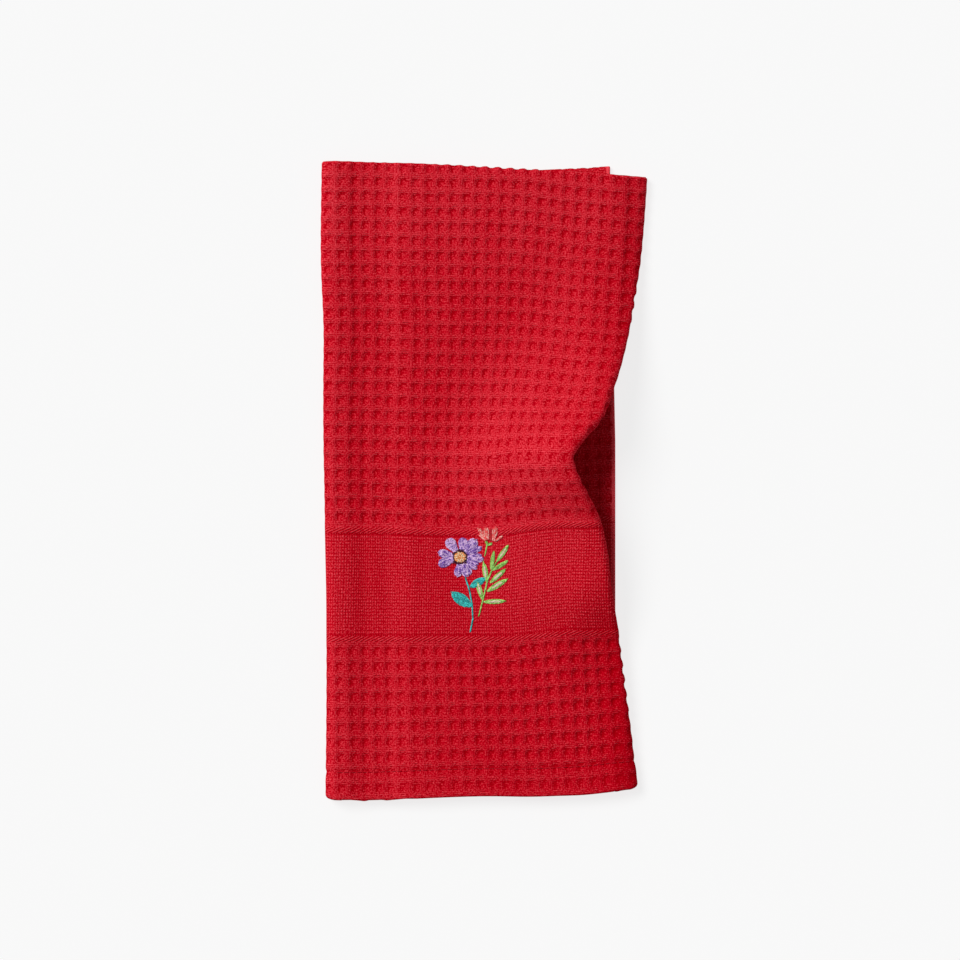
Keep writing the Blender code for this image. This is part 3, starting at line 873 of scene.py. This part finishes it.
TEAL_STEM = [(2.5, -10.5), (5.0, -18.0), (6.6, -26.5), (7.0, -34.5), (5.5, -42.0)]
TEAL_LEAVES = [((6.2, -27.6), (-5.2, -19.6), 6.4), ((5.4, -16.8), (14.2, -11.6), 4.4)]
SPRIG_STEM = [(10.2, -33.4), (12.6, -24.0), (15.2, -13.0), (17.8, -7.0), (20.4, -2.4)]
SPRIG_LEAVES = [((20.3, -2.6), (27.0, 7.0), 2.7, True), ((17.2, -7.0), (18.8, 3.6), 2.3, False),
                ((18.0, -7.4), (27.0, -1.7), 2.3, False), ((16.6, -14.4), (25.4, -6.5), 2.9, True),
                ((14.9, -19.2), (26.2, -12.2), 3.2, True), ((12.9, -25.0), (25.4, -24.4), 2.8, True),
                ((15.0, -14.2), (13.0, -2.6), 3.0, True), ((12.3, -23.8), (9.2, -12.4), 2.8, True)]
HEART_FROM, HEART_TO, HEART_WIDTH = 0.25, 0.80, 1.2
BUD_STEM = [(13.7, 0.4), (15.0, 7.4)]
BUD_CUP = [((15.2, 6.6), (14.4, 9.3), 1.6), ((15.2, 6.6), (18.0, 8.0), 1.6)]
BUD_PETALS = [((14.6, 9.2), (10.0, 16.8), 2.2), ((15.4, 9.6), (14.2, 16.9), 3.0),
              ((18.6, 9.0), (19.8, 17.0), 3.2), ((14.4, 9.0), (10.4, 12.6), 1.1),
              ((19.2, 8.9), (23.8, 11.9), 1.3)]
BUD_HEART = ((16.8, 9.2), (17.4, 15.8), 3.0)


def petal_outline(s):
    """A petal's half width along it, as a share: it widens on a smooth S from 0.45 to 1, and closes on
    a round end, the root of 1 less s to the sixth."""
    return (0.45 + 0.55 * ease(s / 0.7)) * np.sqrt(1 - s ** 6)


def leaf_outline(s):
    """A leaf's half width along it, as a share: the sine of half a turn, to a power that rounds it."""
    return np.sin(np.pi * s) ** 0.75


def eye_outline(s):
    """The daisy's eye: the half width of an ellipse along it, as a share."""
    return np.sqrt(1 - (2 * s - 1) ** 2)


def tones(count, share):
    """Tones for so many stitches: about that share of them deep, and the others pale."""
    tone = np.where(rng.random(count) < share, DEEP_TONE, PALE_TONE)
    return np.clip(tone + rng.normal(0, TONE_SPREAD, count), 0, 1)


def filled(start, end, width, outline, lift, dome, tone):
    """Stitches side by side along a petal or leaf, at even shares of its half width. Each row is a run
    of stitches that start half a stitch later in every second row, zigzag a little in and out, and
    end a little short or long. They are higher in the middle, by the dome less its share of the
    distance out squared. Gives their places in mm, how far they stand up, and their tones."""
    run = np.subtract(end, start)
    length = np.hypot(*run)
    rows = max(3, round(width * MM / STITCH_PITCH))
    count = max(1, round(length * MM / STITCH_LENGTH))
    out = np.broadcast_to((np.arange(rows) * 2 + 1)[:, None] / rows - 1, (rows, count + 1))
    first = (np.arange(count + 1) - np.arange(rows)[:, None] % 2 / 2) / count
    reach = 1 + rng.normal(0, RAGGED, (rows, 1)) - RAGGED
    first, last = np.clip([first, first + STITCH_OVERLAP / count], 0, 1) * reach
    long_enough = last - first > SHORTEST_STITCH / count
    out, first, last = out[long_enough], first[long_enough], last[long_enough]
    place = first[:, None] + (last - first)[:, None] * STATIONS
    aside = out[:, None] * outline(np.clip(place, 0, 1)) * width / 2 * (1 + JAG * ZIGZAG)
    plan = start + place[..., None] * run + aside[..., None] * np.array((-run[1], run[0])) / length
    rise = lift * MM + dome * (1 - out ** 2) + rng.uniform(0, STITCH_UNEVEN, len(out))
    return plan, rise, tones(len(out), tone)


def stem(places, width, lift, tone):
    """Short slanting stitches that overlap along a smooth line through the given places, each from one
    side of it to the other, like a rope."""
    places = np.array(places, float)
    marks = np.cumsum([0, *np.hypot(*np.diff(places, axis=0).T)])
    starts = np.arange(0, marks[-1] - STEM_STITCH / 2, STEM_STEP)
    at = np.clip(starts[:, None] + STEM_STITCH * STATIONS, 0, marks[-1])
    line = np.stack([np.interp(at, marks, places[:, k]) for k in (0, 1)], axis=-1)
    ahead = np.gradient(line, axis=1)
    ahead /= np.linalg.norm(ahead, axis=-1, keepdims=True) + 1e-9
    aside = (0.5 - STATIONS[:, None]) * width * np.stack([-ahead[..., 1], ahead[..., 0]], axis=-1)
    return line + aside, np.full(len(at), lift * MM), tones(len(at), tone)


def radial(count, inner, outer, spread, lift, tone):
    """Stitches outwards all round the daisy's middle."""
    angle = (np.arange(count) + rng.uniform(-ANGLE_UNEVEN, ANGLE_UNEVEN, count)) * 2 * np.pi / count
    end = outer + rng.uniform(-spread, spread, count)
    reach = inner + (end - inner)[:, None] * STATIONS
    plan = reach[..., None] * np.stack([np.cos(angle), np.sin(angle)], axis=-1)[:, None]
    return plan, np.full(count, lift * MM), tones(count, tone)


def under_plan(plan):
    """The places on the front panel that lie under points seen from above. It starts from the plain
    distances, and steps by what is left over until that is nothing."""
    across, along = plan[..., 0] - PACK_POINTS[0, 0, 0], plan[..., 1] - HEM_Y
    for _ in range(POSY_ROUNDS):
        at = folded(across, along, CLOTH_THICK / 2)
        across, along = across + plan[..., 0] - at[..., 0], along + plan[..., 1] - at[..., 1]
    return across, along


def strands(across, along, rise, width, height):
    """Closed strands, one for each row of places: rings of points on an ellipse round the strand's
    line, tapered to both ends. The line stands out of the cloth by the rise times 1 less the fourth
    power of the distance from its middle, so both ends go into the cloth."""
    bow = 1 - (2 * STATIONS - 1) ** 4
    taper = STRAND_TAPER + (1 - STRAND_TAPER) * bow
    middle = folded(across, along, CLOTH_THICK / 2 + rise[:, None] * bow)
    up = folded(across, along, CLOTH_THICK / 2 + rise[:, None] * bow + MM) - middle
    up /= np.linalg.norm(up, axis=-1, keepdims=True)
    ahead = np.gradient(middle, axis=1)
    aside = np.cross(ahead, up)
    aside /= np.linalg.norm(aside, axis=-1, keepdims=True)
    turn = np.arange(STRAND_SIDES) / STRAND_SIDES * 2 * np.pi - np.pi / 2
    round_width = (taper * width / 2)[None, :, None, None] * np.cos(turn)[:, None]
    round_height = (taper * height / 2)[None, :, None, None] * np.sin(turn)[:, None]
    points = middle[:, :, None] + aside[:, :, None] * round_width + up[:, :, None] * round_height
    count, stations = across.shape
    number = np.arange(points.size // 3).reshape(count, stations, STRAND_SIDES)
    after = np.roll(number, -1, axis=2)
    sides = np.stack([number[:, :-1], after[:, :-1], after[:, 1:], number[:, 1:]], axis=-1)
    faces = sides.reshape(-1, 4).tolist() + number[:, 0].tolist() + number[:, -1].tolist()
    length = np.linalg.norm(np.diff(middle, axis=1), axis=-1).cumsum(axis=1)
    length = np.concatenate([np.zeros((count, 1)), length], axis=1)
    twist = np.stack(np.broadcast_arrays((turn / (2 * np.pi))[None, None], length[..., None]), axis=-1)
    return points.reshape(-1, 3) + centring, faces, twist.reshape(-1, 2)


def thread(name, first, second, gloss=0.25):
    """Twisted thread of that gloss. Its tone passes from the first colour to the second from stitch to
    stitch, with a fine speckle, and its twist is the cosine of the turns round it and along it."""
    finish = Finish(name, {"Roughness": 0.5, "Sheen Weight": gloss / 2, "Sheen Roughness": 0.4,
                           "Specular IOR Level": gloss})
    around, along, _ = finish.uv("twist")
    ply = (around * PLIES + along / TWIST).cosine()
    place = finish.node("ShaderNodeTexCoord", {}, {}).outputs["Object"]
    speck = finish.noise(place, 1 / SPECK_SIZE, detail=1.0) - SPECK_MIDDLE
    tone = finish.point_values("tone") + ply * PLY_TONE + speck * SPECK
    finish.feed(finish.shader.inputs["Base Color"], finish.mix(tone, first, second))
    finish.feed(finish.shader.inputs["Normal"], finish.bump(ply, PLY_HEIGHT))
    return finish.material


def thread_piece(name, across, along, rise, tone, finish, width=STITCH_WIDTH, height=STITCH_HEIGHT):
    """All the strands of one thread as one piece of the towel."""
    points, faces, twist = strands(across, along, rise, width, height)
    piece = smooth_piece(name, points, faces)
    write_uv(piece, "twist", twist)
    write_point_values(piece, "tone", np.repeat(tone, len(STATIONS) * STRAND_SIDES))
    piece.data.materials.append(finish)
    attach(piece, "root")
    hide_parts("towel_cloth")
    return piece


def posy_piece(name, groups, first, second):
    """The stitches of one colour in the posy, given as groups of places in mm, rises and tones."""
    plan, rise, tone = (np.concatenate(parts) for parts in zip(*groups))
    across, along = under_plan(DAISY + plan * MM)
    return thread_piece(name, across, along, rise, tone, thread(name + "_thread", first, second))


def petal(angle, length, width, violet, lift):
    """One petal's stitches, from near the daisy's middle outwards."""
    outwards = np.array((np.cos(np.radians(angle)), np.sin(np.radians(angle))))
    return filled(PETAL_START * outwards, length * outwards, width, petal_outline, lift, PETAL_DOME, violet)


def leaves(rows, outline, lift, tone):
    """The stitches of each leaf, or small petal, from its foot to its tip."""
    return [filled(foot, tip, width, outline, lift, LEAF_DOME, tone) for foot, tip, width, *_ in rows]


def leaf_heart(foot, tip):
    """The pale stitches along the middle of one leaf."""
    start, end = (np.add(np.multiply(foot, 1 - share), np.multiply(tip, share))
                  for share in (HEART_FROM, HEART_TO))
    return filled(start, end, HEART_WIDTH, leaf_outline, lift=0.42, dome=FLAT_DOME, tone=0.3)


LILAC, VIOLET = (0.820, 0.560, 0.880, 1), (0.150, 0.050, 0.380, 1)
# The two wines are near black: partly dark thread and partly painted shade round the daisy's eye.
SHADED_WINE, SHADED_DARK_WINE = (0.090, 0.004, 0.022, 1), (0.020, 0.002, 0.012, 1)
AMBER, CREAM = (0.900, 0.260, 0.040, 1), (0.900, 0.740, 0.480, 1)
TEAL, DEEP_TEAL = (0.050, 0.660, 0.620, 1), (0.012, 0.210, 0.220, 1)
LEAF_GREEN, DEEP_GREEN = (0.420, 0.780, 0.200, 1), (0.140, 0.340, 0.045, 1)
ROSE, OCHRE = (0.860, 0.680, 0.640, 1), (0.640, 0.520, 0.330, 1)
PALE_CORAL, CORAL = (0.900, 0.500, 0.440, 1), (0.820, 0.070, 0.070, 1)
DEEP_RED, BRIGHT_RED = (0.400, 0.001, 0.008, 1), (0.640, 0.030, 0.040, 1)

daisy_petals = posy_piece("daisy_petals", [petal(*row) for row in PETALS], LILAC, VIOLET)
# The ring round the eye is partly dark stitches and partly painted shade between the eye and the petals.
daisy_ring_and_shadow = posy_piece("daisy_ring_and_shadow", [
    radial(RING_STITCHES, RING_START, RING_END, spread=0.7, lift=0.75, tone=0.4)], SHADED_WINE, SHADED_DARK_WINE)
daisy_eye = posy_piece("daisy_eye", [
    filled((-EYE_LENGTH / 2, 0), (EYE_LENGTH / 2, 0), EYE_WIDTH, eye_outline, lift=0.65,
           dome=EYE_DOME, tone=0.12),
    radial(KNOTS, KNOT_START, KNOT_END, spread=0.5, lift=1.20, tone=1)], AMBER, CREAM)
teal_stem = posy_piece("teal_stem", [
    stem(TEAL_STEM, width=0.75, lift=0.35, tone=0.35),
    *leaves(TEAL_LEAVES, leaf_outline, lift=0.15, tone=0.28)], TEAL, DEEP_TEAL)
green_sprig = posy_piece("green_sprig", [
    stem(SPRIG_STEM, width=0.65, lift=0.30, tone=0.35),
    stem(BUD_STEM, width=0.5, lift=0.25, tone=0.3),
    *leaves(SPRIG_LEAVES, leaf_outline, lift=0.12, tone=0.28),
    *leaves(BUD_CUP, petal_outline, lift=0.3, tone=0.3)], LEAF_GREEN, DEEP_GREEN)
leaf_hearts = posy_piece("leaf_hearts", [
    leaf_heart(foot, tip) for foot, tip, _, has_heart in SPRIG_LEAVES if has_heart], ROSE, OCHRE)
coral_bud = posy_piece("coral_bud", leaves(BUD_PETALS, petal_outline, lift=0.3, tone=0.6),
                       PALE_CORAL, CORAL)
bud_heart = posy_piece("bud_heart", [
    filled(*BUD_HEART, petal_outline, lift=0.08, dome=FLAT_DOME, tone=0.3)], DEEP_RED, BRIGHT_RED)


# ---- The hem's stitches ----
# A row of dull red sewing thread that holds the turned hem, sunk in the groove that it pulls. With
# it the towel is whole.

HEM_STITCH, HEM_GAP, HEM_SUNK = 0.0026, 0.0008, 0.00005
HEM_FIRST, HEM_LAST, MID_PANEL = 0.001, 0.002, 0.08
HEM_THREAD_WIDTH, HEM_THREAD_HEIGHT, HEM_TONE = 0.00045, 0.00040, 0.5
HEM_RED, HEM_PALE = (0.480, 0.002, 0.012, 1), (0.560, 0.020, 0.032, 1)

hem_width = panel_width(np.array([MID_PANEL]), np.array([HEM_DEPTH]))[0]
hem_starts = np.arange(HEM_FIRST, hem_width - HEM_LAST, HEM_STITCH + HEM_GAP)
hem_across = hem_starts[:, None] + HEM_STITCH * STATIONS
hem_stitches = thread_piece("hem_stitches", hem_across, np.full(hem_across.shape, HEM_DEPTH),
                            np.full(len(hem_starts), -HEM_SUNK), np.full(len(hem_starts), HEM_TONE),
                            thread("hem_thread", HEM_RED, HEM_PALE, gloss=0.0),
                            HEM_THREAD_WIDTH, HEM_THREAD_HEIGHT)


# ---- The floor, the light and the camera ----
# A plain pale table top that glows a little, so that it stays even, under a soft light from the upper
# left. The camera looks straight down from high above it.

FLOOR_SIZE = 8.0
FLOOR_COLOUR = (0.12, 0.12, 0.12, 1)
FLOOR_GLOW = 0.805
floor = smooth_piece("floor", np.array([(-1, -1, 0), (1, -1, 0), (1, 1, 0), (-1, 1, 0)]) * FLOOR_SIZE / 2,
                     [[0, 1, 2, 3]])
floor_finish = Finish("pale_floor", {"Base Color": FLOOR_COLOUR, "Roughness": 0.9,
                                     "Emission Color": (1, 1, 1, 1), "Emission Strength": FLOOR_GLOW})
floor.data.materials.append(floor_finish.material)
floor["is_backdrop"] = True

KEY_HEADING, KEY_HEIGHT = np.radians(143), np.radians(50)
KEY_SPREAD = np.radians(28)
KEY_STRENGTH = 3.15
key = bpy.data.lights.new("key", "SUN")
key.angle = KEY_SPREAD
key.energy = KEY_STRENGTH
key_light = bpy.data.objects.new("key", key)
key_light.rotation_euler = (0, np.pi / 2 - KEY_HEIGHT, KEY_HEADING)
bpy.context.scene.collection.objects.link(key_light)

SKY = 0.25
world = bpy.data.worlds.new("soft_room")
world.use_nodes = True
world.node_tree.nodes["Background"].inputs["Color"].default_value = (1, 1, 1, 1)
world.node_tree.nodes["Background"].inputs["Strength"].default_value = SKY
bpy.context.scene.world = world
bpy.context.scene.view_settings.view_transform = "Standard"

CAMERA_HEIGHT = 2.9875
VIEW_WIDTH = 0.5357
CLOTH_TOP = 0.0100
VIEW_CENTRE = (-0.0013, 0.0005)
camera = bpy.data.cameras.new("camera")
camera.sensor_width = 36
camera.lens = camera.sensor_width * (CAMERA_HEIGHT - CLOTH_TOP) / VIEW_WIDTH
above = bpy.data.objects.new("camera", camera)
above.location = (VIEW_CENTRE[0] + centring[0], VIEW_CENTRE[1] + centring[1], CAMERA_HEIGHT)
bpy.context.scene.collection.objects.link(above)
bpy.context.scene.camera = above
